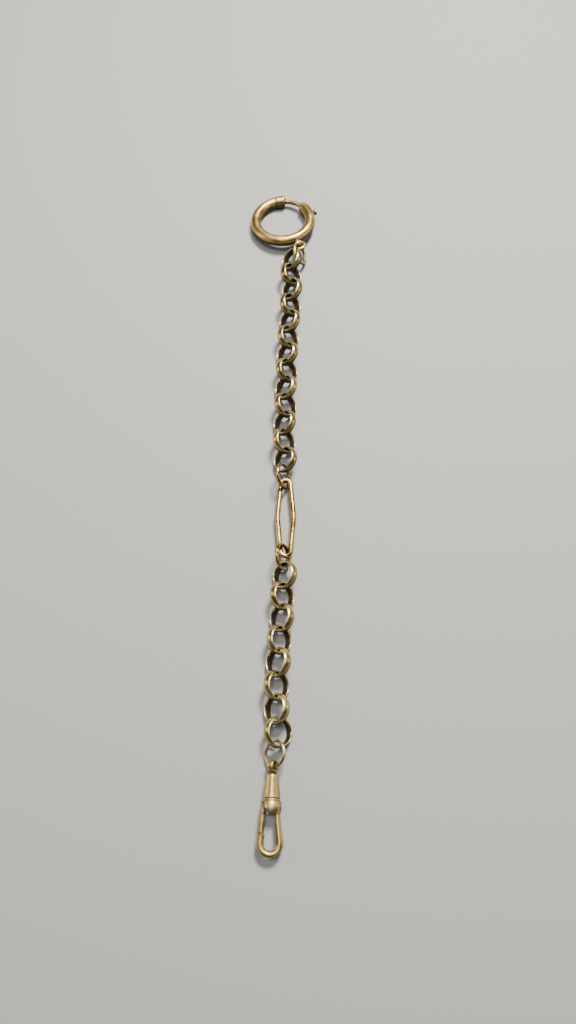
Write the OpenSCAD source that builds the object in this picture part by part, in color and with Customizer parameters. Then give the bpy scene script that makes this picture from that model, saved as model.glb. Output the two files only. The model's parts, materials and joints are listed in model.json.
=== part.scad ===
// Pocket watch chain: bolt ring, thirteen links, long link, eight links and a swivel clip.
// Millimetres. +Z is up, the chain lies along Y with the bolt ring at +Y.
// Origin: centre of the bounding box in X and Y, table plane at Z = 0.

/* [Belcher links] */
// Outside diameter of a link
link_od = 8.2; // [7.6:0.1:9]
// Radial thickness of the D-section wire
link_thick = 0.9; // [0.7:0.05:1.1]
// Width of the D-section wire
link_width = 2.4; // [1.8:0.1:2.8]

/* [Long link] */
// Overall length of the long link
long_length = 24.9; // [22:0.1:28]
// Overall width of the long link
long_width = 6.2; // [6:0.1:7]
// Wire diameter of the long link
long_wire = 1.5; // [1.4:0.1:1.7]

/* [Connector rings] */
// Outside diameter of the two rings that hold the long link
connector_od = 8; // [7.7:0.1:8.2]
// Wire diameter of those rings
connector_wire = 1; // [0.9:0.1:1.1]

/* [Bolt ring] */
// Outside diameter of the bolt ring
ring_od = 22; // [20:0.5:24]
// Diameter of its tube
ring_tube = 3.5; // [3:0.1:4]
// Diameter of the sliding bolt
bolt_dia = 1.5; // [1.3:0.1:1.7]
// Angle of the gap in the tube
gap_angle = 40; // [34:1:44]

/* [Swivel clip] */
// Length of the tapered barrel
barrel_length = 6.3; // [5.5:0.1:7]
// Diameter of the collar
collar_dia = 5.2; // [4.8:0.1:5.6]
// Width of the hook loop
hook_width = 6.6; // [6:0.1:7.2]
// Wire diameter of the hook at its bend
hook_wire = 1.8; // [1.6:0.1:2]

/* [Hidden] */
$fn = 64;

// places along the chain
long_y = -15;
long_z = 2.3;
connector_tilt = 62;
connector_r = (connector_od - connector_wire) / 2;
connector_z = connector_r * sin(connector_tilt) + connector_wire / 2;
long_x = 4.37;
long_turn = 1.8;
upper_connector_x = 3.37;
lower_connector_x = 3.98;
upper_connector_y = -2.54;
lower_connector_y = -27.45;
link_in = link_od / 2 - link_thick;

// where each link lies and how far it leans: x, y, degrees
upper_place = [
    [3.4, 76.51, 45],
    [3.21, 70.32, -45],
    [3.83, 64.34, 45],
    [3.37, 58.24, -45],
    [3.45, 52, 45],
    [3.1, 45.85, -45],
    [3.1, 39.7, 45],
    [3.1, 33.55, -45],
    [3.1, 27.4, 45],
    [3.1, 21.25, -45],
    [3.1, 15.1, 45],
    [3.1, 8.94, -45],
    [3.7, 2.88, 42]];
lower_place = [
    [4.81, -32.79, 45],
    [4.22, -38.8, -45],
    [4.39, -44.9, 45],
    [3.86, -50.94, -45],
    [3.85, -57.01, 45],
    [3.6, -63.07, -45],
    [3.9, -69.13, 45],
    [4.47, -74.92, -36]];

// link section
outer_crown = 1.7;
inner_crown = 3;

// bolt ring
ring_r = (ring_od - ring_tube) / 2;
tube_r = ring_tube / 2;
channel_r = bolt_dia / 2 + 0.06;
gap_start = 48;
gap_end = gap_start + gap_angle;
spring_seat = -84;
bolt_tail = 8;
stud_angle = 20;
bolt_travel = 44;
ring_tilt = 5.5;
ring_x = -0.16;
ring_y = 93.65;
ring_z = ring_r * sin(ring_tilt) + tube_r;
lean = -57;
eye_angle = -62;
eye_r = 1.45;
eye_wire = 1.2;
eye_out = 13.05;

// first connecting ring
first_r = 3.3;
first_wire = 0.96;
first_pos = [5.95, 78.69, 3.92];
first_turn = [0, 57.7, 0.6];

// swivel
swivel_x = 3.4;
swivel_ring_x = 3.81;
swivel_y = -85.15;
swivel_z = collar_dia / 2;
barrel_top_r = 1.55;
barrel_end_r = 2.25;
cavity_r = 1.15;
cap = 1;
shank_r = 0.55;
collar_start = barrel_length;
collar_len = 2.9;
collar_end = collar_start + collar_len;
eye_ball_r = 1.65;
eye_ball_z = -1.95;
eye_hole_r = 0.8;
eye_roll = 38.4;
swivel_ring_r = 3.15;
swivel_ring_wire = 0.82;
swivel_ring_tilt = 40;
swivel_ring_y = -80.13;
swivel_ring_z = 2.83;
loop_r = hook_width / 2 - hook_wire / 2;
loop_z = collar_end + 10.3 - hook_wire / 2 - loop_r;
arm_lean = 7.5;
pin_x = -1.1;
pin_z = collar_start + 1.3;
pin_r = 0.3;
seat_x = -1.65;
nose_lean = 6;
gate_reach = 6.35;
gate_gap = 0.12;
gate_wire_r = 0.74;
leaf_r = 4;
leaf_thick = 0.12;

module brass() { color([0.78, 0.62, 0.36]) children(); }
module pale() { color([0.86, 0.74, 0.5]) children(); }
module steel() { color([0.6, 0.6, 0.62]) children(); }

// a ring whose plane holds the Y axis, leaning over by tilt
module stand(x, y, z, tilt) { translate([x, y, z]) rotate([0, -tilt, 0]) children(); }

// height of a leaning link above the table
function link_height(tilt) =
    let (a = abs(tilt), core = link_od / 2 - outer_crown, half = link_width / 2)
    outer_crown * cos(a) <= half
        ? core * sin(a) + outer_crown
        : (core + sqrt(outer_crown * outer_crown - half * half)) * sin(a) + half * cos(a);

module link_body() {
    rotate_extrude() intersection() {
        translate([link_od / 2 - outer_crown, 0]) circle(outer_crown);
        translate([link_in + inner_crown, 0]) circle(inner_crown);
        translate([link_in - 0.5, -link_width / 2]) square([link_thick + 1, link_width]);
    }
}

module arc_wire(path_r, wire_r, from, to) {
    rotate([0, 0, from]) rotate_extrude(angle = to - from) translate([path_r, 0]) circle(wire_r);
}

module wire_ring(path_r, wire_r) {
    rotate_extrude() translate([path_r, 0]) circle(wire_r);
}

module link(place) {
    brass() stand(place[0], place[1], link_height(place[2]), place[2]) link_body();
}

// long link: two bowed arms with a soft kink half way, closed by small bends
end_r = 1.45;
kink_r = 5;
long_half_x = (long_width - long_wire) / 2;
long_end_y = (long_length - long_wire) / 2 - end_r;
kink_x = long_half_x - kink_r;
arm_span = sqrt(kink_x * kink_x + long_end_y * long_end_y);
arm_turn = atan2(long_end_y, -kink_x) - acos((kink_r - end_r) / arm_span);
joint_lap = 0.1;
arm_straight = sqrt(arm_span * arm_span - (kink_r - end_r) * (kink_r - end_r));

module long_straight(side, end) {
    rotate([0, 0, side]) mirror([0, end, 0])
        translate([kink_x + kink_r * cos(arm_turn), kink_r * sin(arm_turn), 0])
        rotate([0, 0, arm_turn]) rotate([-90, 0, 0])
        translate([0, 0, -joint_lap]) cylinder(r = long_wire / 2 - 0.015, h = arm_straight + 2 * joint_lap);
}

module long_link() {
    brass() translate([long_x, long_y, long_z]) rotate([0, 0, long_turn]) {
        translate([kink_x, 0, 0]) arc_wire(kink_r, long_wire / 2, -arm_turn, arm_turn);
        translate([-kink_x, 0, 0]) arc_wire(kink_r, long_wire / 2, 180 - arm_turn, 180 + arm_turn);
        translate([0, long_end_y, 0]) arc_wire(end_r, long_wire / 2, arm_turn, 180 - arm_turn);
        translate([0, -long_end_y, 0]) arc_wire(end_r, long_wire / 2, 180 + arm_turn, 360 - arm_turn);
        long_straight(0, 0);
        long_straight(0, 1);
        long_straight(180, 0);
        long_straight(180, 1);
    }
}

module upper_connector() {
    brass() stand(upper_connector_x, upper_connector_y, connector_z, -connector_tilt)
        wire_ring(connector_r, connector_wire / 2);
}

module lower_connector() {
    brass() stand(lower_connector_x, lower_connector_y, connector_z, -connector_tilt)
        wire_ring(connector_r, connector_wire / 2);
}

module first_ring() {
    pale() translate(first_pos) rotate(first_turn) wire_ring(first_r, first_wire / 2);
}

// bolt ring
module ring_place() {
    translate([ring_x, ring_y, ring_z])
        rotate([0, 0, lean]) rotate([0, -ring_tilt, 0]) rotate([0, 0, -lean]) children();
}

module bolt_ring_tube() {
    brass() ring_place() difference() {
        union() {
            arc_wire(ring_r, tube_r, gap_end, 360 + gap_start);
            arc_wire(ring_r, tube_r + 0.18, gap_end, gap_end + 20);
        }
        arc_wire(ring_r, channel_r, gap_end - 1, gap_end + 12);
        arc_wire(ring_r, channel_r, spring_seat, gap_start + 1);
        rotate([0, 0, stud_angle - bolt_travel - 4]) rotate_extrude(angle = bolt_travel + 8)
            translate([ring_r, -0.55]) square([tube_r + 1, 1.1]);
    }
}

module bolt() {
    pale() ring_place() {
        arc_wire(ring_r, bolt_dia / 2, bolt_tail, gap_end + 2);
        rotate([0, 0, gap_end + 2]) translate([ring_r, 0, 0]) rotate([-90, 0, 0])
            translate([0, 0, -0.1]) cylinder(r1 = bolt_dia / 2 - 0.02, r2 = bolt_dia / 2 - 0.3, h = 0.5);
    }
}

module thumb_stud() {
    brass() ring_place() rotate([0, 0, stud_angle]) rotate([0, 90, 0]) {
        translate([0, 0, ring_r + bolt_dia / 2 - 0.1]) cylinder(r = 0.45, h = 1.6);
        translate([0, 0, ring_r + tube_r + 0.15]) cylinder(r1 = 0.85, r2 = 1, h = 0.55);
        translate([0, 0, ring_r + tube_r + 0.7]) cylinder(r1 = 1, r2 = 0.7, h = 0.45);
    }
}

// coil spring laid round the tube's own curve
spring_turns = 14;
spring_steps = 10;
spring_coil_r = 0.56;
spring_wire_r = 0.13;
spring_from = bolt_tail - 0.5;
spring_to = spring_seat + 0.5;
spring_count = spring_turns * spring_steps;
end_points = 4 * spring_count * [1, 1, 1];

function coil_point(k, s) =
    let (t = k / spring_count,
         a = spring_from + (spring_to - spring_from) * t,
         w = 360 * k / spring_steps,
         c = 90 * s + 45,
         rad = spring_coil_r + spring_wire_r * cos(c),
         along = spring_wire_r * sin(c),
         p = ring_r + rad * cos(w))
    [p * cos(a) - along * sin(a), p * sin(a) + along * cos(a), rad * sin(w)];

module bolt_spring() {
    steel() ring_place() polyhedron(
        points = [for (k = [0 : spring_count], s = [0 : 3]) coil_point(k, s)],
        faces = concat(
            [for (k = [0 : spring_count - 1], s = [0 : 3])
                [4 * k + s, 4 * k + (s + 1) % 4, 4 * k + 4 + (s + 1) % 4]],
            [for (k = [0 : spring_count - 1], s = [0 : 3])
                [4 * k + s, 4 * k + 4 + (s + 1) % 4, 4 * k + 4 + s]],
            [[3, 2, 1], [3, 1, 0]],
            [[0, 1, 2] + end_points, [0, 2, 3] + end_points]));
}

module bolt_ring_eye() {
    pale() ring_place() rotate([0, 0, eye_angle]) difference() {
        union() {
            translate([eye_out, 0, 0]) wire_ring(eye_r, eye_wire / 2);
            translate([ring_r + 1, 0, 0]) rotate([0, 90, 0]) cylinder(r = 0.8, h = 1.3);
        }
        arc_wire(ring_r, tube_r, -20, 20);
        translate([eye_out, 0, 0]) cylinder(r = eye_r - eye_wire / 2, h = 4, center = true);
    }
}

// swivel clip: local Z runs from the barrel's top towards the hook
module swivel_place() { translate([swivel_x, swivel_y, swivel_z]) rotate([90, 0, 0]) children(); }

module swivel_ring() {
    pale() stand(swivel_ring_x, swivel_ring_y, swivel_ring_z, swivel_ring_tilt)
        wire_ring(swivel_ring_r, swivel_ring_wire / 2);
}

module swivel_eye() {
    brass() swivel_place() {
        translate([0, 0, eye_ball_z]) rotate([0, 0, eye_roll]) difference() {
            intersection() {
                sphere(eye_ball_r);
                cube([2, 4, 4], center = true);
            }
            rotate([0, 90, 0]) cylinder(r = eye_hole_r, h = 4, center = true);
            translate([0.5, 0, 0]) rotate([0, 90, 0]) cylinder(r1 = eye_hole_r, r2 = eye_hole_r + 0.6, h = 0.6);
            translate([-0.5, 0, 0]) rotate([0, -90, 0]) cylinder(r1 = eye_hole_r, r2 = eye_hole_r + 0.6, h = 0.6);
        }
        translate([0, 0, -0.7]) cylinder(r = shank_r, h = 2.2);
        translate([0, 0, cap + 0.12]) cylinder(r = 0.92, h = 0.5);
    }
}

module barrel() {
    brass() swivel_place() difference() {
        rotate_extrude() polygon([
            [0, 0], [barrel_top_r - 0.15, 0], [barrel_top_r, 0.15],
            [barrel_end_r, barrel_length - 0.3], [barrel_end_r - 0.2, barrel_length], [0, barrel_length]]);
        translate([0, 0, -1]) cylinder(r = shank_r + 0.07, h = 3);
        translate([0, 0, cap]) cylinder(r = cavity_r, h = barrel_length);
    }
}

module collar() {
    brass() swivel_place() difference() {
        union() {
            rotate_extrude() intersection() {
                translate([collar_dia / 2 - 4, collar_start + collar_len / 2]) circle(4);
                translate([0, collar_start]) square([3, collar_len]);
            }
            translate([0, 0, collar_start - 0.8]) cylinder(r = cavity_r, h = 1);
        }
        // seat for the gate's flat root, relieved below the pin
        translate([seat_x - 3, -4, collar_start + 0.45]) cube([3, 8, 4]);
        translate([seat_x, 4, pin_z + 0.35]) rotate([90, 0, 0])
            linear_extrude(8) polygon([[-1, 0], [0, 0], [1.8, 1.6], [1.8, 3], [-1, 3]]);
        // slot for the gate's knuckle and spring
        translate([-2, -0.6, pin_z - 0.62]) cube([1.8, 1.2, 4]);
        translate([pin_x, 0, pin_z]) rotate([90, 0, 0]) cylinder(r = pin_r, h = 8, center = true);
        // socket of the fixed arm
        fixed_arm();
    }
}

// right arm of the hook, tapering into the collar
module fixed_arm() {
    translate([0, 0, loop_z]) rotate([90, 0, 0]) rotate([0, 0, -arm_lean])
        translate([loop_r, 0, 0]) rotate([90, 0, 0]) cylinder(r1 = hook_wire / 2, r2 = 0.68, h = 9);
}

module about_pin(radius, width) {
    translate([pin_x, 0, pin_z]) rotate([90, 0, 0]) cylinder(r = radius, h = width, center = true);
}

module hook() {
    brass() swivel_place() {
        difference() {
            union() {
                translate([0, 0, loop_z]) rotate([90, 0, 0])
                    arc_wire(loop_r, hook_wire / 2, -arm_lean, 180 + nose_lean);
                translate([0, 0, loop_z]) rotate([90, 0, 0]) rotate([0, 0, 180 + nose_lean])
                    translate([loop_r, 0, 0]) rotate([-90, 0, 0]) cylinder(r = hook_wire / 2, h = 2.6);
            }
            intersection() {
                about_pin(gate_reach + gate_gap, 8);
                translate([-8, -4, 0]) cube([8, 8, 40]);
            }
        }
        fixed_arm();
    }
}

module gate() {
    brass() swivel_place() difference() {
        union() {
            // flat root that fills the collar's side
            intersection() {
                translate([0, 0, collar_start + 0.6]) cylinder(r = collar_dia / 2 - 0.08, h = 2.35);
                translate([-4, -1.75, 0]) cube([4 + seat_x - 0.1, 3.5, 20]);
            }
            // arm that closes on the hook's nose
            intersection() {
                translate([-2.02, 0, collar_end - 0.35]) rotate([0, -3, 0]) cylinder(r = gate_wire_r, h = 8);
                about_pin(gate_reach, 4);
            }
            // knuckle on the pin
            about_pin(0.5, 1.1);
            translate([seat_x - 0.4, -0.55, pin_z - 0.45]) cube([0.5, 1.1, 0.9]);
        }
        about_pin(pin_r + 0.05, 4);
    }
}

module gate_pin() { steel() swivel_place() about_pin(pin_r, 3.9); }

module gate_spring() {
    steel() swivel_place() translate([-0.2 - leaf_r, 0.42, pin_z - 0.45]) rotate([90, 0, 0])
        linear_extrude(0.84) difference() {
            circle(leaf_r);
            circle(leaf_r - leaf_thick);
            translate([-5, -5]) square([10, 5]);
            rotate([0, 0, 34]) translate([-9, 0]) square([20, 20]);
        }
}

bolt_ring_tube();
bolt();
bolt_spring();
thumb_stud();
bolt_ring_eye();
first_ring();
link(upper_place[0]);  // upper_link_01
link(upper_place[1]);  // upper_link_02
link(upper_place[2]);  // upper_link_03
link(upper_place[3]);  // upper_link_04
link(upper_place[4]);  // upper_link_05
link(upper_place[5]);  // upper_link_06
link(upper_place[6]);  // upper_link_07
link(upper_place[7]);  // upper_link_08
link(upper_place[8]);  // upper_link_09
link(upper_place[9]);  // upper_link_10
link(upper_place[10]);  // upper_link_11
link(upper_place[11]);  // upper_link_12
link(upper_place[12]);  // upper_link_13
upper_connector();
long_link();
lower_connector();
link(lower_place[0]);  // lower_link_01
link(lower_place[1]);  // lower_link_02
link(lower_place[2]);  // lower_link_03
link(lower_place[3]);  // lower_link_04
link(lower_place[4]);  // lower_link_05
link(lower_place[5]);  // lower_link_06
link(lower_place[6]);  // lower_link_07
link(lower_place[7]);  // lower_link_08
swivel_ring();
swivel_eye();
barrel();
collar();
hook();
gate();
gate_pin();
gate_spring();
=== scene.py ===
import json
import math

import bpy
import numpy as np
from mathutils import Matrix, Vector
from mathutils.bvhtree import BVHTree


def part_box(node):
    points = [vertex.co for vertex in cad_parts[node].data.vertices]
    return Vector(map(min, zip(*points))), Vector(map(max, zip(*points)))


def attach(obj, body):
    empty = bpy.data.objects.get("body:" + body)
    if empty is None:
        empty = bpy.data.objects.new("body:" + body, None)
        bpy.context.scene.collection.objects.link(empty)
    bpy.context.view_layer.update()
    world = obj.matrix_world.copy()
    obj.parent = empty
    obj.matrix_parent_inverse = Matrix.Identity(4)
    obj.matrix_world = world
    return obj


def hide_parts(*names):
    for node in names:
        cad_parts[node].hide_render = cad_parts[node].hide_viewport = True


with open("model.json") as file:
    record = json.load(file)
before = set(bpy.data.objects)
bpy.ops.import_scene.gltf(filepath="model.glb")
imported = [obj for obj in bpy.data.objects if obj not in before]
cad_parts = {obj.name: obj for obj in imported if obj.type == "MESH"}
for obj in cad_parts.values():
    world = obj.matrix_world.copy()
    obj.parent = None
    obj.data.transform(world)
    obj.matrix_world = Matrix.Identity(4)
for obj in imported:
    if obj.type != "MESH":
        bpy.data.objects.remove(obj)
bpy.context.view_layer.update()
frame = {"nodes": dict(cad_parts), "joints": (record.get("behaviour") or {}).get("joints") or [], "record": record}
NODES = frame["nodes"]
JOINT = {j["child"]: j for j in frame["joints"]}
BODY_OF = {n: b for b, ns in frame["record"]["behaviour"]["bodies"].items() for n in ns}
MM = 0.001
LAP = 6.28


# ---------------------------------------------------------------- geometry
def unit(v):
    v = np.asarray(v, float)
    return v / np.linalg.norm(v)


def ring_axes(child):
    """centre in millimetres, in-plane axes and normal of a ring, from its joint"""
    j = JOINT[child]
    n = unit(j["axis"])
    if n[2] < 0:
        n = -n
    steep = abs(n[1]) >= 0.9
    along = unit(np.cross(n, [1, 0, 0])) if steep else unit(np.array([0, 1, 0]) - n[1] * n)
    side = np.cross(along, n)
    return np.array(j["pos_m"]) / MM, side, along, n


def box_mm(node):
    lo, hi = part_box(node)
    return np.array(lo) / MM, np.array(hi) / MM


def soften(poly, rounds=2, keep=0.25):
    """cuts a closed section's corners"""
    for _ in range(rounds):
        nxt = np.roll(poly, -1, axis=0)
        poly = np.stack([poly + (nxt - poly) * keep, nxt - (nxt - poly) * keep], 1).reshape(-1, 2)
    return poly


def resample(poly, count):
    closed = np.vstack([poly, poly[:1]])
    step = np.r_[0, np.cumsum(np.linalg.norm(np.diff(closed, axis=0), axis=1))]
    at = np.linspace(0, step[-1], count, endpoint=False)
    return np.stack([np.interp(at, step, closed[:, 0]), np.interp(at, step, closed[:, 1])], 1)


def circle(radius, count):
    t = np.linspace(0, 2 * np.pi, count, endpoint=False)
    return np.stack([radius * np.cos(t), radius * np.sin(t)], 1)


def ripple(t, rng, waves=(2, 3, 5, 7), size=1.0):
    """a smooth closed wobble between about -1 and 1"""
    out = np.zeros_like(t)
    for w in waves:
        out += rng.normal() * np.cos(w * t + rng.uniform(0, LAP)) / w
    return size * out / 1.2


def skin(rings, closed_along, cap_start=None, cap_end=None):
    """quads between successive loops of points; caps are single points"""
    rings = np.asarray(rings)
    n, m, _ = rings.shape
    verts = rings.reshape(-1, 3)
    i = np.arange(n if closed_along else n - 1)[:, None]
    k = np.arange(m)[None, :]
    a, b = i * m + k, i * m + (k + 1) % m
    c, d = ((i + 1) % n) * m + (k + 1) % m, ((i + 1) % n) * m + k
    faces = np.stack([a, b, c, d], -1).reshape(-1, 4).tolist()
    extra = []
    for point, row, flip in ((cap_start, 0, False), (cap_end, n - 1, True)):
        if point is not None:
            tip = len(verts) + len(extra)
            extra.append(point)
            for k in range(m):
                p, q = row * m + k, row * m + (k + 1) % m
                faces.append((q, p, tip) if not flip else (p, q, tip))
    if extra:
        verts = np.vstack([verts, extra])
    return verts, faces


def make_piece(name, verts_mm, faces, flow=None, smooth=True):
    """a mesh object in metres from millimetre vertices; flow is the position along and across the wire"""
    mesh = bpy.data.meshes.new(name)
    mesh.from_pydata((np.asarray(verts_mm) * MM).tolist(), [], faces)
    mesh.validate()
    fix_normals(mesh)
    mesh.polygons.foreach_set("use_smooth", [smooth] * len(mesh.polygons))
    obj = bpy.data.objects.new(name, mesh)
    bpy.context.scene.collection.objects.link(obj)
    if flow is not None:
        store(mesh, "flow", flow)
    return obj


def fix_normals(mesh):
    import bmesh
    bm = bmesh.new()
    bm.from_mesh(mesh)
    bmesh.ops.recalc_face_normals(bm, faces=bm.faces)
    bm.to_mesh(mesh)
    bm.free()


def store(mesh, name, values):
    values = np.asarray(values, np.float32)
    if values.ndim == 2:
        made = mesh.attributes.new(name, "FLOAT_VECTOR", "POINT")
        made.data.foreach_set("vector", values.ravel())
    else:
        mesh.attributes.new(name, "FLOAT", "POINT").data.foreach_set("value", values)


def co_of(obj):
    co = np.zeros(len(obj.data.vertices) * 3, np.float32)
    obj.data.vertices.foreach_get("co", co)
    return co.reshape(-1, 3).astype(float)


def sweep_ring(name, child, section, radius, seed, inner_face_shade, outer_face_shade, rimmed=False, count=128,
               wobble=0.012):
    """a closed ring of constant section, slightly uneven as hand-closed wire is"""
    rng = np.random.default_rng(seed)
    centre, side, along, n = ring_axes(child)
    t = np.linspace(0, 2 * np.pi, count, endpoint=False)
    seam_at = rng.uniform(0, 2 * np.pi)
    shrink = ripple(t, rng, size=wobble) - abs(wobble)
    lift = ripple(t, rng, size=wobble * 0.8)
    pinch = 1 - 0.012 * (1 + ripple(t, rng))
    gap = np.abs((t - seam_at + np.pi) % (2 * np.pi) - np.pi) * radius
    notch = np.exp(-(gap / 0.11) ** 2) * 0.035
    swell = np.exp(-(gap / 0.7) ** 2) * 0.02
    rings, flow = [], []
    mid = section.mean(0)
    facing = (section[:, 0] - mid[0]) / np.abs(section[:, 0] - mid[0]).max()
    # rim: the section's two edges; they are kept out of the painted shade and later brightened as a painted
    # highlight
    reach = np.clip((np.abs(section[:, 1]) / np.abs(section[:, 1]).max() - 0.5) / 0.3, 0, 1)
    rim = reach ** 2 * (3 - 2 * reach) if rimmed else 0 * reach
    # painted shade: the inner faces of the section are darkened by the first shade amount, the outer faces by the
    # second
    shade = (inner_face_shade - outer_face_shade) * (0.5 - 0.5 * np.tanh((facing + 0.05) * 4.0)) * (1 - rim) + outer_face_shade
    for i, a in enumerate(t):
        s = (section - mid) * (pinch[i] - notch[i] + swell[i] * 0.5) + mid
        out = side * math.cos(a) + along * math.sin(a)
        r = s[:, 0] + shrink[i]
        rings.append(centre + r[:, None] * out + (s[:, 1] + lift[i])[:, None] * n)
        u = ((a - seam_at) % (2 * np.pi)) * radius
        flow.append(np.stack([np.full(len(s), u), s[:, 1], s[:, 0] - mid[0]], 1))
    v, f = skin(rings, True)
    obj = make_piece(name, v, f, np.concatenate(flow))
    # a darker seam where the ring was closed, stored together with the inner faces' painted shade
    seamed = np.exp(-(gap / 0.16) ** 2)
    store(obj.data, "rim", np.tile(rim, count))
    store(obj.data, "shade_and_seam_dirt", np.tile(shade, count) + 0.35 * np.repeat(seamed, len(section)))
    return obj


def link_section():
    """the belcher wire's D section: a strong outer crown, a shallow inner one, eased edges"""
    od, thick, width, crown, inner = 8.2, 0.9, 2.4, 1.7, 3.0
    a = np.linspace(-width / 2, width / 2, 25)
    outer = np.stack([od / 2 - crown + np.sqrt(crown ** 2 - a ** 2), a], 1)
    within = np.stack([od / 2 - thick + inner - np.sqrt(inner ** 2 - a[::-1] ** 2), a[::-1]], 1)
    return resample(soften(np.vstack([outer, within]), 3), 44)


def from_cad(name, node, voxel=0.05, smooth=4, strength=0.6):
    """a copy of a CAD node with eased edges and soldered-looking inner corners"""
    source = NODES[node]
    mesh = source.data.copy()
    mesh.name = name
    mesh.transform(Matrix.Scale(1 / MM, 4))
    mesh.materials.clear()
    obj = bpy.data.objects.new(name, mesh)
    bpy.context.scene.collection.objects.link(obj)
    m = obj.modifiers.new("weld", "WELD")
    m.merge_threshold = 1e-4
    m = obj.modifiers.new("voxels", "REMESH")
    m.mode = "VOXEL"
    m.voxel_size = voxel
    m.use_smooth_shade = True
    m = obj.modifiers.new("ease", "SMOOTH")
    m.factor = strength
    m.iterations = smooth
    dg = bpy.context.evaluated_depsgraph_get()
    done = bpy.data.meshes.new_from_object(obj.evaluated_get(dg))
    obj.modifiers.clear()
    obj.data = done
    bpy.data.meshes.remove(mesh)
    done.name = name
    done.transform(Matrix.Scale(MM, 4))
    done.polygons.foreach_set("use_smooth", [True] * len(done.polygons))
    for a in [a.name for a in done.attributes if a.name.startswith("custom_normal")]:
        done.attributes.remove(done.attributes[a])
    return obj


# ---------------------------------------------------------------- materials
def node(tree, kind, **values):
    made = tree.nodes.new(kind)
    for key, value in values.items():
        if hasattr(made, key):
            setattr(made, key, value)
        else:
            made.inputs[key.replace("_", " ")].default_value = value
    return made


def brass(name, rubbed_and_highlight_colour, mid, oxide_and_shade_colour, rough, stain=0.5, streak=0.5, gold=1.0):
    """aged brass: polished crowns that also carry a painted highlight, brown oxide with painted shade in the
    hollows and undersides, drawn-wire streaks, pits and fine scratches
    """
    mat = bpy.data.materials.new(name)
    mat.use_nodes = True
    t = mat.node_tree
    t.nodes.clear()
    link = t.links.new
    out = node(t, "ShaderNodeOutputMaterial")
    bsdf = node(t, "ShaderNodeBsdfPrincipled")
    link(bsdf.outputs[0], out.inputs[0])

    flow = node(t, "ShaderNodeAttribute", attribute_name="flow")
    shade_and_dirt = node(t, "ShaderNodeAttribute", attribute_name="shade_and_dirt")
    crown = node(t, "ShaderNodeAttribute", attribute_name="crown")
    place = node(t, "ShaderNodeTexCoord")

    def stretched(scale, size, detail=4.0, roughness=0.6, source=None):
        m = node(t, "ShaderNodeMapping")
        m.inputs["Scale"].default_value = scale
        link(source or flow.outputs["Vector"], m.inputs["Vector"])
        n = node(t, "ShaderNodeTexNoise", Scale=size, Detail=detail, Roughness=roughness)
        link(m.outputs[0], n.inputs["Vector"])
        return n.outputs["Fac"]

    def spread(value, low, high, to_low=0.0, to_high=1.0):
        m = node(t, "ShaderNodeMapRange")
        m.interpolation_type = "SMOOTHSTEP"
        for key, v in (("From Min", low), ("From Max", high), ("To Min", to_low), ("To Max", to_high)):
            m.inputs[key].default_value = v
        link(value, m.inputs["Value"])
        return m.outputs["Result"]

    def calc(op, a, b, clamp=False):
        m = node(t, "ShaderNodeMath", operation=op, use_clamp=clamp)
        for socket, v in zip(m.inputs, (a, b)):
            if isinstance(v, (int, float)):
                socket.default_value = v
            else:
                link(v, socket)
        return m.outputs[0]

    def blend(fac, a, b):
        m = node(t, "ShaderNodeMix", data_type="RGBA")
        link(fac, m.inputs["Factor"])
        sockets = [s for s in m.inputs if s.type == "RGBA"]
        for socket, v in zip(sockets, (a, b)):
            if isinstance(v, tuple):
                socket.default_value = (*v, 1)
            else:
                link(v, socket)
        return [s for s in m.outputs if s.type == "RGBA"][0]

    fine = stretched((0.22, 9.0, 9.0), 1.0, 5.0, 0.65)
    broad = stretched((0.35, 1.6, 1.6), 0.9, 3.0, 0.55)
    speck = stretched((900, 900, 900), 1.0, 3.0, 0.6, place.outputs["Object"])
    cloud = stretched((260, 260, 260), 1.0, 4.0, 0.6, place.outputs["Object"])

    # painted highlight: the crown attribute, rubbed edges, pulls the colour to the bright one
    wear_and_highlight = calc("ADD", spread(cloud, 0.38, 0.66, -0.35, 0.35), crown.outputs["Fac"])
    wear_and_highlight = calc("ADD", wear_and_highlight, spread(fine, 0.3, 0.7, -0.22 * streak, 0.22 * streak), True)
    tone = blend(wear_and_highlight, mid, rubbed_and_highlight_colour)
    # painted shade: the stored darkening, mostly shade, pulls the colour to the dark one, with noise stains of
    # real tarnish
    tarnish_and_shade = calc("ADD", calc("MULTIPLY", shade_and_dirt.outputs["Fac"], 1.45),
                   spread(broad, 0.42, 0.7, -0.3, 0.3 * stain))
    tarnish_and_shade = calc("ADD", tarnish_and_shade, spread(speck, 0.55, 0.75, 0.0, 0.25 * stain), True)
    tone = blend(tarnish_and_shade, tone, oxide_and_shade_colour)
    link(tone, bsdf.inputs["Base Color"])

    gloss = calc("ADD", spread(cloud, 0.3, 0.7, rough - 0.05, rough + 0.09), calc("MULTIPLY", tarnish_and_shade, 0.26))
    gloss = calc("ADD", gloss, spread(fine, 0.3, 0.7, -0.05, 0.07), True)
    link(gloss, bsdf.inputs["Roughness"])
    metal = spread(tarnish_and_shade, 0.3, 1.0, gold, gold * 0.12)
    link(metal, bsdf.inputs["Metallic"])

    relief = calc("ADD", calc("MULTIPLY", fine, 0.9 * streak), calc("MULTIPLY", cloud, 0.55))
    relief = calc("ADD", relief, calc("MULTIPLY", speck, 0.35))
    bump = node(t, "ShaderNodeBump", Strength=0.35, Distance=0.00006)
    link(relief, bump.inputs["Height"])
    link(bump.outputs[0], bsdf.inputs["Normal"])
    return mat


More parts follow.
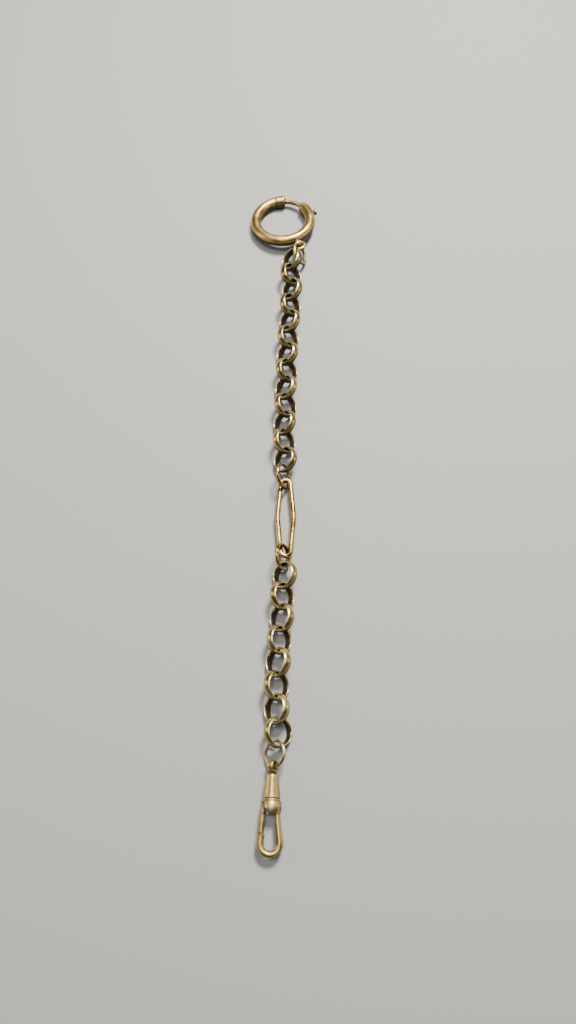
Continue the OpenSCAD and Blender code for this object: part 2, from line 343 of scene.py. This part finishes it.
# colours per material: rubbed brass that also serves as painted highlight, mid brass, and dark oxide that also
# serves as painted shade
LINK_BRASS = brass("link_brass", (0.90, 0.72, 0.36), (0.47, 0.32, 0.11), (0.016, 0.010, 0.004),
                   rough=0.27, stain=0.6, streak=1.0)
WIRE_BRASS = brass("wire_brass", (0.84, 0.62, 0.24), (0.46, 0.29, 0.085), (0.018, 0.010, 0.004),
                   rough=0.22, stain=0.5, streak=0.6)
TUBE_BRASS = brass("tube_brass", (0.86, 0.66, 0.29), (0.60, 0.42, 0.15), (0.028, 0.017, 0.006),
                   rough=0.35, stain=0.4, streak=0.35)
PALE_BRASS = brass("pale_brass", (0.90, 0.76, 0.39), (0.64, 0.48, 0.21), (0.05, 0.032, 0.012),
                   rough=0.28, stain=0.35, streak=0.35)
CLIP_BRASS = brass("clip_brass", (0.80, 0.64, 0.31), (0.52, 0.38, 0.16), (0.045, 0.03, 0.012),
                   rough=0.36, stain=0.45, streak=0.4)
STEEL = brass("spring_steel", (0.60, 0.58, 0.54), (0.42, 0.40, 0.37), (0.12, 0.10, 0.08),
              rough=0.36, stain=0.5, streak=0.6)


# ---------------------------------------------------------------- dressing
PIECES = []
# painted shade: faces turned down, towards -Y and a little towards +X are darkened
SHADE_WAY = np.array([0.25, -0.5, -1.7])
REACH = 0.001


def dress(obj, material, slot, body, *replaced, shade_and_dirt=0.0):
    """gives a finished piece its material, joins it to its body and lists it to be aged and painted with shade by
    its own shape below
    """
    obj.data.materials.clear()
    obj.data.materials.append(material)
    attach(obj, body)
    if replaced:
        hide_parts(*replaced)
    PIECES.append((obj, body, shade_and_dirt))
    return obj


def taken(mesh, name):
    """reads a vertex value and removes it; zero where the mesh has none"""
    if name not in mesh.attributes:
        return 0.0
    values = np.zeros(len(mesh.vertices), np.float32)
    mesh.attributes[name].data.foreach_get("value", values)
    mesh.attributes.remove(mesh.attributes[name])
    return values


def age_and_paint_shade(obj, body, base, trees):
    """darkening: near another piece, plus painted shade on concave faces and on faces turned down or towards -Y;
    crown: proud edges that rub bright, also a painted highlight
    """
    mesh = obj.data
    co = co_of(obj)
    normal = np.zeros(len(mesh.vertices) * 3, np.float32)
    mesh.vertices.foreach_get("normal", normal)
    normal = normal.reshape(-1, 3)
    edges = np.zeros(len(mesh.edges) * 2, np.int64)
    mesh.edges.foreach_get("vertices", edges)
    edges = edges.reshape(-1, 2)
    d = co[edges[:, 1]] - co[edges[:, 0]]
    length = np.maximum(np.linalg.norm(d, axis=1), 1e-9)
    bend = np.einsum("ij,ij->i", normal[edges[:, 1]] - normal[edges[:, 0]], d) / length ** 2 * MM
    total, count = np.zeros(len(co)), np.zeros(len(co))
    for side in (0, 1):
        np.add.at(total, edges[:, side], bend)
        np.add.at(count, edges[:, side], 1)
    curve = total / np.maximum(count, 1)
    for _ in range(3):
        total = np.zeros(len(co))
        for a, b in ((0, 1), (1, 0)):
            np.add.at(total, edges[:, a], curve[edges[:, b]])
        curve = 0.5 * curve + 0.5 * total / np.maximum(count, 1)
    near = np.full(len(co), 9.0)
    for other, tree in trees.items():
        if other == body:
            continue
        lo, hi = tree[1], tree[2]
        if np.any(co.min(0) - REACH > hi) or np.any(co.max(0) + REACH < lo):
            continue
        for i, p in enumerate(co):
            if np.all(p > lo - REACH) and np.all(p < hi + REACH):
                hit = tree[0].find_nearest(p, REACH)
                if hit[0] is not None:
                    near[i] = min(near[i], hit[3] / MM)
    close = np.exp(-(near / 0.42) ** 2)
    painted_underside_shade = np.clip(normal @ SHADE_WAY + 0.85, 0, 1)
    # painted shade on concave faces, such as the links' inner faces
    concave_shade = np.clip(-curve / 1.2, 0, 1)
    base, rim = base + taken(mesh, "shade_and_seam_dirt"), taken(mesh, "rim")
    shade_and_dirt = base + 0.75 * close * (1 - 0.6 * rim) + 0.95 * painted_underside_shade + 0.8 * concave_shade * (1 - rim)
    shade_and_dirt = np.clip(shade_and_dirt, 0, 1)
    # crown: convex edges and rims rub bright, which also paints a highlight
    crown = np.clip(0.1 + 0.28 * np.clip(curve, 0, 3) + rim, 0, 1) * (1 - 0.5 * close)
    store(mesh, "shade_and_dirt", shade_and_dirt)
    store(mesh, "crown", crown)
    if "flow" not in mesh.attributes:
        store(mesh, "flow", co / MM)


# ---------------------------------------------------------------- links and rings
SECTION = link_section()
LINK_R = 3.65
LINKS = [n for n in sorted(NODES) if "_link_" in n and n != "long_link"]
for k, n in enumerate(LINKS):
    obj = sweep_ring(n + "_brass", n, SECTION, LINK_R, 100 + k, inner_face_shade=0.95, outer_face_shade=0.0, rimmed=True)
    dress(obj, LINK_BRASS, "aged_brass", n, n)

for k, (n, r, wire, material, slot) in enumerate((
        ("upper_connector", 3.5, 0.5, WIRE_BRASS, "aged_brass"),
        ("lower_connector", 3.5, 0.5, WIRE_BRASS, "aged_brass"),
        ("first_ring", 3.3, 0.48, PALE_BRASS, "pale_brass"),
        ("swivel_ring", 3.15, 0.41, PALE_BRASS, "pale_brass"))):
    obj = sweep_ring(n + "_wire", n, circle(wire, 28) + [r, 0], r, 40 + k,
                     inner_face_shade=0.5, outer_face_shade=0.0, wobble=0.008)
    dress(obj, material, slot, n, n)


# ---------------------------------------------------------------- long link
LONG_LINK_YAW = 1.8


def long_path():
    """the closed centre line of the long link, in its own plane, with the link's centre and the wire's radius"""
    lo, hi = box_mm("long_link")
    length, width, wire, end_r, kink_r = 24.9, 6.2, 1.5, 1.45, 5.0
    half_x, end_y = (width - wire) / 2, (length - wire) / 2 - end_r
    kink_x = half_x - kink_r
    turn = math.atan2(end_y, -kink_x) - math.acos((kink_r - end_r) / math.hypot(kink_x, end_y))
    pts = []
    for a in np.linspace(0, turn, 16):
        pts.append((kink_x + kink_r * math.cos(a), kink_r * math.sin(a)))
    p = np.array(pts[-1])
    q = np.array([end_r * math.cos(turn), end_y + end_r * math.sin(turn)])
    pts += [tuple(p + (q - p) * s) for s in np.linspace(0, 1, 40)[1:]]
    bend = np.linspace(turn, math.pi / 2, 18)[1:]
    pts += [(end_r * math.cos(a), end_y + end_r * math.sin(a)) for a in bend]
    quarter = np.array(pts)
    upper = np.vstack([quarter, (quarter * [-1, 1])[::-1][1:]])
    path = np.vstack([upper[:-1], (upper * [1, -1])[::-1][:-1]])
    yaw = math.radians(LONG_LINK_YAW)
    path = path @ np.array([[math.cos(yaw), math.sin(yaw)], [-math.sin(yaw), math.cos(yaw)]])
    return path, (lo + hi) / 2, wire / 2


def long_link_piece():
    path, centre, w = long_path()
    rng = np.random.default_rng(7)
    back, ahead = np.roll(path, 1, axis=0), np.roll(path, -1, axis=0)
    tan = ahead - back
    tan /= np.linalg.norm(tan, axis=1)[:, None]
    outward = np.stack([tan[:, 1], -tan[:, 0]], 1)
    length = np.r_[0, np.cumsum(np.linalg.norm(np.diff(path, axis=0), axis=1))]
    t = length / length[-1] * 2 * np.pi
    thin = 1 - 0.01 * (1 + ripple(t, rng, (2, 5, 9)))
    wave = ripple(t, rng, (3, 4, 7), 0.02) - 0.03
    sec = circle(w, 32)
    seam_at = length[-1] * 0.31
    gap = np.abs(length - seam_at)
    rings, flow = [], []
    for i in range(len(path)):
        s = sec * (thin[i] - 0.03 * math.exp(-(gap[i] / 0.12) ** 2))
        out3 = np.array([outward[i, 0], outward[i, 1], 0])
        c = centre + np.array([path[i, 0], path[i, 1], 0]) + out3 * wave[i]
        rings.append(c + s[:, :1] * out3 + s[:, 1:] * np.array([0, 0, 1.0]))
        flow.append(np.stack([np.full(len(s), length[i]), s[:, 1], s[:, 0]], 1))
    v, f = skin(rings, True)
    return make_piece("long_link_wire", v, f, np.concatenate(flow))


dress(long_link_piece(), WIRE_BRASS, "aged_brass", "long_link", "long_link")


# ---------------------------------------------------------------- bolt ring
RING_R, TUBE_R, BOLT_R = 9.25, 1.75, 0.75
BORE_R, MOUTH_R, SLEEVE_R = 0.81, 0.90, 1.93
GAP_FROM, GAP_TO = 48.0, 88.0
slide = JOINT["bolt"]
ring_n = unit(slide["axis"])
ring_n = ring_n if ring_n[2] > 0 else -ring_n
ring_c = np.array(slide["pos_m"]) / MM
LEAN = math.radians(-57)
LEAN_WAY = [math.cos(LEAN), math.sin(LEAN), 0]
ring_u = unit(np.array(LEAN_WAY) - np.dot(LEAN_WAY, ring_n) * ring_n)
ring_v = np.cross(ring_n, ring_u)


def ring_point(angle_deg, out, up):
    """a point on the bolt ring: its angle, then the offset from the tube's centre line"""
    a = math.radians(angle_deg) - LEAN
    e = ring_u * math.cos(a) + ring_v * math.sin(a)
    return ring_c + e * (RING_R + out) + ring_n * up


def tube_piece():
    """rolled tube with a sleeve at one mouth, an eased lip at the other and the stud's slot"""
    rng = np.random.default_rng(21)
    slot_from, slot_to, slot_half = -28.0, 24.0, 0.55
    around = np.linspace(-math.pi, math.pi, 64, endpoint=False)
    edge = math.asin(slot_half / TUBE_R)
    around = np.sort(np.r_[around, edge - 0.02, edge + 0.05, -edge + 0.02, -edge - 0.05])
    start, end = GAP_TO, 360 + GAP_FROM
    deg = 180 / (math.pi * RING_R)
    stations = [(start + 1.8 * deg, 0.0), (start + 1.8 * deg, BORE_R), (start, BORE_R), (start, MOUTH_R),
                (start, 1.2), (start, 1.62), (start + 0.05 * deg, 1.80), (start + 0.18 * deg, 1.90),
                (start + 0.4 * deg, SLEEVE_R)]
    sleeve = 20.0
    for a in np.arange(start + 1.0 * deg, start + sleeve - 0.5 * deg, 0.35 * deg):
        stations.append((a, SLEEVE_R))
    stations += [(start + sleeve - 0.3 * deg, SLEEVE_R), (start + sleeve - 0.12 * deg, 1.90),
                 (start + sleeve - 0.02 * deg, 1.83), (start + sleeve + 0.02 * deg, 1.76),
                 (start + sleeve + 0.1 * deg, 1.735), (start + sleeve + 0.3 * deg, 1.75)]
    dense = np.arange(start + sleeve + 0.8 * deg, end - 1.0 * deg, 0.7 * deg)
    extra = [360 + slot_from + d * deg for d in (-0.15, 0.0, 0.15, 0.35, 0.6)]
    extra += [360 + slot_to + d * deg for d in (-0.6, -0.35, -0.15, 0.0, 0.15)]
    for a in np.sort(np.r_[dense, extra]):
        stations.append((a, TUBE_R))
    stations += [(end - 0.6 * deg, 1.75), (end - 0.3 * deg, 1.70), (end - 0.12 * deg, 1.60),
                 (end - 0.02 * deg, 1.45), (end, 1.2), (end, MOUTH_R), (end, BORE_R),
                 (end - 1.8 * deg, BORE_R), (end - 1.8 * deg, 0.0)]
    wave = [rng.uniform(0, LAP) for _ in range(3)]
    rings, flow, slot_and_bore_shade = [], [], []
    for a, r in stations[1:-1]:
        t = math.radians(a)
        wob = 1 - 0.006 * (1 + math.cos(3 * t + wave[0]) * 0.6 + math.cos(7 * t + wave[1]) * 0.4)
        rr = np.full(len(around), r * (wob if r > 1.3 else 1))
        cut = np.zeros(len(around))
        if r == TUBE_R:
            along = max(360 + slot_from + slot_half * deg - a, a - (360 + slot_to - slot_half * deg), 0) / deg
            off = np.hypot(along, TUBE_R * np.sin(around)) - slot_half
            cut = np.where(np.abs(around) < 1.2, np.clip(0.5 - off / 0.09, 0, 1), 0)
            groove = np.exp(-((np.abs(around) - math.pi) / 0.045) ** 2)
            rr = rr * (1 - 0.02 * groove)
        rr = rr - cut * (TUBE_R - 1.15)
        rings.append([ring_point(a, q * math.cos(p), q * math.sin(p)) for q, p in zip(rr, around)])
        flow.append(np.stack([np.full(len(around), t * RING_R), rr * np.sin(around), rr * np.cos(around)], 1))
        # painted shade inside the stud's slot and at the tube's bore
        slot_and_bore_shade.append(np.maximum(cut, 1.0 if r < 0.85 else 0.0))
    v, f = skin(rings, False, ring_point(stations[0][0], 0, 0), ring_point(stations[-1][0], 0, 0))
    flow = np.concatenate(flow + [[[0, 0, 0], [0, 0, 0]]])
    obj = make_piece("bolt_ring_tube_brass", v, f, flow)
    store(obj.data, "shade_and_seam_dirt", np.concatenate(slot_and_bore_shade + [[1, 1]]))
    return obj


dress(tube_piece(), TUBE_BRASS, "aged_brass", "bolt_ring", "bolt_ring_tube")


def bolt_piece():
    deg = 180 / (math.pi * RING_R)
    start, end = 8.0, 90.0
    stations = [(start, 0.0), (start, 0.55), (start + 0.1 * deg, 0.70)]
    stations += [(a, BOLT_R - 0.01) for a in np.arange(start + 0.25 * deg, end - 0.15 * deg, 0.5 * deg)]
    stations += [(end - 0.05 * deg, 0.735), (end + 0.12 * deg, 0.66), (end + 0.3 * deg, 0.53),
                 (end + 0.4 * deg, 0.40), (end + 0.4 * deg, 0.0)]
    sides = 32
    around = np.linspace(0, 2 * math.pi, sides, endpoint=False)
    rings = [[ring_point(a, r * math.cos(p), r * math.sin(p)) for p in around] for a, r in stations[1:-1]]
    flow = [np.stack([np.full(sides, math.radians(a) * RING_R), r * np.sin(around), r * np.cos(around)], 1)
            for a, r in stations[1:-1]]
    v, f = skin(rings, False, ring_point(stations[0][0], 0, 0), ring_point(stations[-1][0], 0, 0))
    return make_piece("bolt_rod", v, f, np.concatenate(flow + [[[0, 0, 0], [0, 0, 0]]]))


dress(bolt_piece(), PALE_BRASS, "pale_brass", "bolt", "bolt")


def stud_piece():
    """turned stud with a grip-cut rim and a domed head"""
    a = math.radians(20) - LEAN
    out = ring_u * math.cos(a) + ring_v * math.sin(a)
    side = np.cross(ring_n, out)
    profile = [(9.9, 0.0), (9.9, 0.44), (11.1, 0.44), (11.14, 0.6), (11.16, 0.80), (11.22, 0.88),
               (11.32, 0.92), (11.6, 0.965), (11.68, 0.97), (11.75, 0.95), (11.86, 0.86), (11.98, 0.76),
               (12.06, 0.64), (12.11, 0.42), (12.13, 0.2), (12.135, 0.0)]
    sides, grips, grip_depth = 96, 24, 0.028
    around = np.linspace(0, 2 * math.pi, sides, endpoint=False)
    rings, flow = [], []
    for d, r in profile[1:-1]:
        grip = grip_depth * (0.5 + 0.5 * np.cos(around * grips)) if 0.87 < r and d > 11.2 else 0 * around
        q = r - grip
        mid = ring_c + out * d
        rings.append(mid + (q * np.cos(around))[:, None] * side + (q * np.sin(around))[:, None] * ring_n)
        flow.append(np.stack([around * r, np.full(sides, d), 0 * around], 1))
    v, f = skin(rings, False, ring_c + out * profile[0][0], ring_c + out * profile[-1][0])
    return make_piece("thumb_stud_turned", v, f, np.concatenate(flow + [[[0, 0, 0], [0, 0, 0]]]))


dress(stud_piece(), TUBE_BRASS, "aged_brass", "bolt", "thumb_stud")
dress(from_cad("bolt_ring_eye_soldered", "bolt_ring_eye", voxel=0.045, smooth=8), PALE_BRASS, "pale_brass",
      "bolt_ring", "bolt_ring_eye")


# ---------------------------------------------------------------- swivel clip
spin = JOINT["barrel"]
top = np.array(spin["pos_m"]) / MM
DOWN, RIGHT, UP = np.array([0, -1.0, 0]), np.array([1.0, 0, 0]), np.array([0, 0, 1.0])


def turned(name, profile, count=96):
    """a solid of revolution about the barrel's axis: distance below its top, then radius"""
    around = np.linspace(0, 2 * math.pi, count, endpoint=False)
    rings, flow = [], []
    for d, r in profile[1:-1]:
        mid = top + DOWN * d
        rings.append(mid + (r * np.cos(around))[:, None] * RIGHT + (r * np.sin(around))[:, None] * UP)
        flow.append(np.stack([around * r, np.full(count, d), np.full(count, r)], 1))
    v, f = skin(rings, False, top + DOWN * profile[0][0], top + DOWN * profile[-1][0])
    return make_piece(name, v, f, np.concatenate(flow + [[[0, 0, 0], [0, 0, 0]]]))


def barrel_profile():
    end, r0, r1 = 6.3, 1.55, 2.25
    p = [(1.2, 0.0), (1.2, 0.64), (0.06, 0.64), (0.0, 0.72), (0.0, 0.9), (0.0, 1.25), (0.03, 1.38),
         (0.10, 1.47), (0.22, 1.53)]
    for d in np.arange(0.4, end - 0.75, 0.12):
        p.append((d, r0 + (r1 - r0) * (d - 0.15) / (end - 0.45)))
    p += [(5.60, 2.155), (5.66, 2.13), (5.70, 2.09), (5.76, 2.085), (5.80, 2.12), (5.86, 2.17),
          (5.95, 2.205), (6.05, 2.215), (6.14, 2.19), (6.22, 2.13), (6.27, 2.05), (end, 1.9), (end, 1.4),
          (end, 0.0)]
    return p


dress(turned("barrel_turned", barrel_profile()), CLIP_BRASS, "aged_brass", "barrel", "barrel")
dress(from_cad("swivel_eye_ball", "swivel_eye", voxel=0.04, smooth=6), CLIP_BRASS, "aged_brass",
      "swivel_eye", "swivel_eye")


def lengthwise(obj):
    """drawn-wire streaks that run along Y"""
    store(obj.data, "flow", co_of(obj)[:, [1, 0, 2]] / MM)
    return obj


def roundwise(obj):
    """turning marks round the barrel's axis"""
    co = co_of(obj) / MM - top
    angle, r = np.arctan2(co[:, 2], co[:, 0]), np.hypot(co[:, 0], co[:, 2])
    store(obj.data, "flow", np.stack([angle * r, co[:, 1], r], 1))
    return obj


dress(lengthwise(from_cad("hook_wire", "hook", voxel=0.05, smooth=8)), CLIP_BRASS, "aged_brass",
      "barrel", "hook")
dress(roundwise(from_cad("collar_band", "collar", voxel=0.045, smooth=4)), CLIP_BRASS, "aged_brass",
      "barrel", "collar")
dress(lengthwise(from_cad("gate_arm", "gate", voxel=0.04, smooth=5)), CLIP_BRASS, "aged_brass",
      "gate", "gate")
dress(from_cad("gate_pin_rivet", "gate_pin", voxel=0.03, smooth=6), STEEL, "spring_steel",
      "barrel", "gate_pin")
for n in ("bolt_spring", "gate_spring"):
    NODES[n].data.materials.clear()
    NODES[n].data.materials.append(STEEL)

# ---------------------------------------------------------------- ageing and painted shade
trees = {}
for body in {b for _, b, _ in PIECES}:
    verts, faces, base = [], [], 0
    for obj, b, _ in PIECES:
        if b == body:
            co = co_of(obj)
            verts.append(co)
            faces += [[i + base for i in p.vertices] for p in obj.data.polygons]
            base += len(co)
    co = np.concatenate(verts)
    trees[body] = (BVHTree.FromPolygons([Vector(p) for p in co], faces), co.min(0), co.max(0))
for obj, body, base in PIECES:
    age_and_paint_shade(obj, body, base, trees)

# ---------------------------------------------------------------- stage, light and camera
plane = bpy.data.meshes.new("floor")
FLOOR_HALF, FLOOR_Z = 3, -0.00002
corners = [(x * FLOOR_HALF, y * FLOOR_HALF, FLOOR_Z) for x, y in ((-1, -1), (1, -1), (1, 1), (-1, 1))]
plane.from_pydata(corners, [], [(0, 1, 2, 3)])
floor = bpy.data.objects.new("floor", plane)
bpy.context.scene.collection.objects.link(floor)
floor_mat = bpy.data.materials.new("floor_pale")
floor_mat.use_nodes = True
floor_look = floor_mat.node_tree.nodes["Principled BSDF"].inputs
floor_look["Base Color"].default_value = (0.46, 0.49, 0.54, 1)
floor_look["Roughness"].default_value = 0.7
plane.materials.append(floor_mat)

world = bpy.data.worlds.new("studio")
bpy.context.scene.world = world
world.use_nodes = True
world.node_tree.nodes["Background"].inputs["Color"].default_value = (0.75, 0.77, 0.8, 1)
world.node_tree.nodes["Background"].inputs["Strength"].default_value = 0.09


def soft_light(name, place, target, size, power, colour=(1, 1, 1), length=None):
    data = bpy.data.lights.new(name, "AREA")
    data.shape = "RECTANGLE"
    data.size = size
    data.size_y = length or size
    data.energy = power
    data.color = colour
    lamp = bpy.data.objects.new(name, data)
    lamp.location = place
    lamp.rotation_mode = "QUATERNION"
    lamp.rotation_quaternion = (Vector(target) - Vector(place)).to_track_quat("-Z", "Y")
    bpy.context.scene.collection.objects.link(lamp)


MIDDLE = (0, 0, 0)
WARM, SOFT_WARM = (1, 0.91, 0.75), (1, 0.93, 0.82)
soft_light("key", (0.11, 0.31, 0.50), MIDDLE, 0.15, 6.6, WARM)
soft_light("top", (-0.04, 0.02, 0.75), MIDDLE, 0.2, 1.8, SOFT_WARM)
soft_light("left", (-0.40, 0.03, 0.10), MIDDLE, 0.07, 0.55, WARM, 0.45)
soft_light("right", (0.40, 0.03, 0.10), MIDDLE, 0.07, 0.35, WARM, 0.45)

cam_data = bpy.data.cameras.new("camera")
cam = bpy.data.objects.new("camera", cam_data)
bpy.context.scene.collection.objects.link(cam)
bpy.context.scene.camera = cam
cam_data.lens = 27.18
cam_data.sensor_width = 36
cam_data.clip_start, cam_data.clip_end = 0.005, 20
PITCH, YAW = math.radians(67.5), math.atan(0.0325)
cam.location = (0.0078, -0.09855, 0.208)
look = Vector((-math.sin(YAW) * math.cos(PITCH), math.cos(YAW) * math.cos(PITCH), -math.sin(PITCH)))
cam.rotation_mode = "QUATERNION"
cam.rotation_quaternion = look.to_track_quat("-Z", "Y")
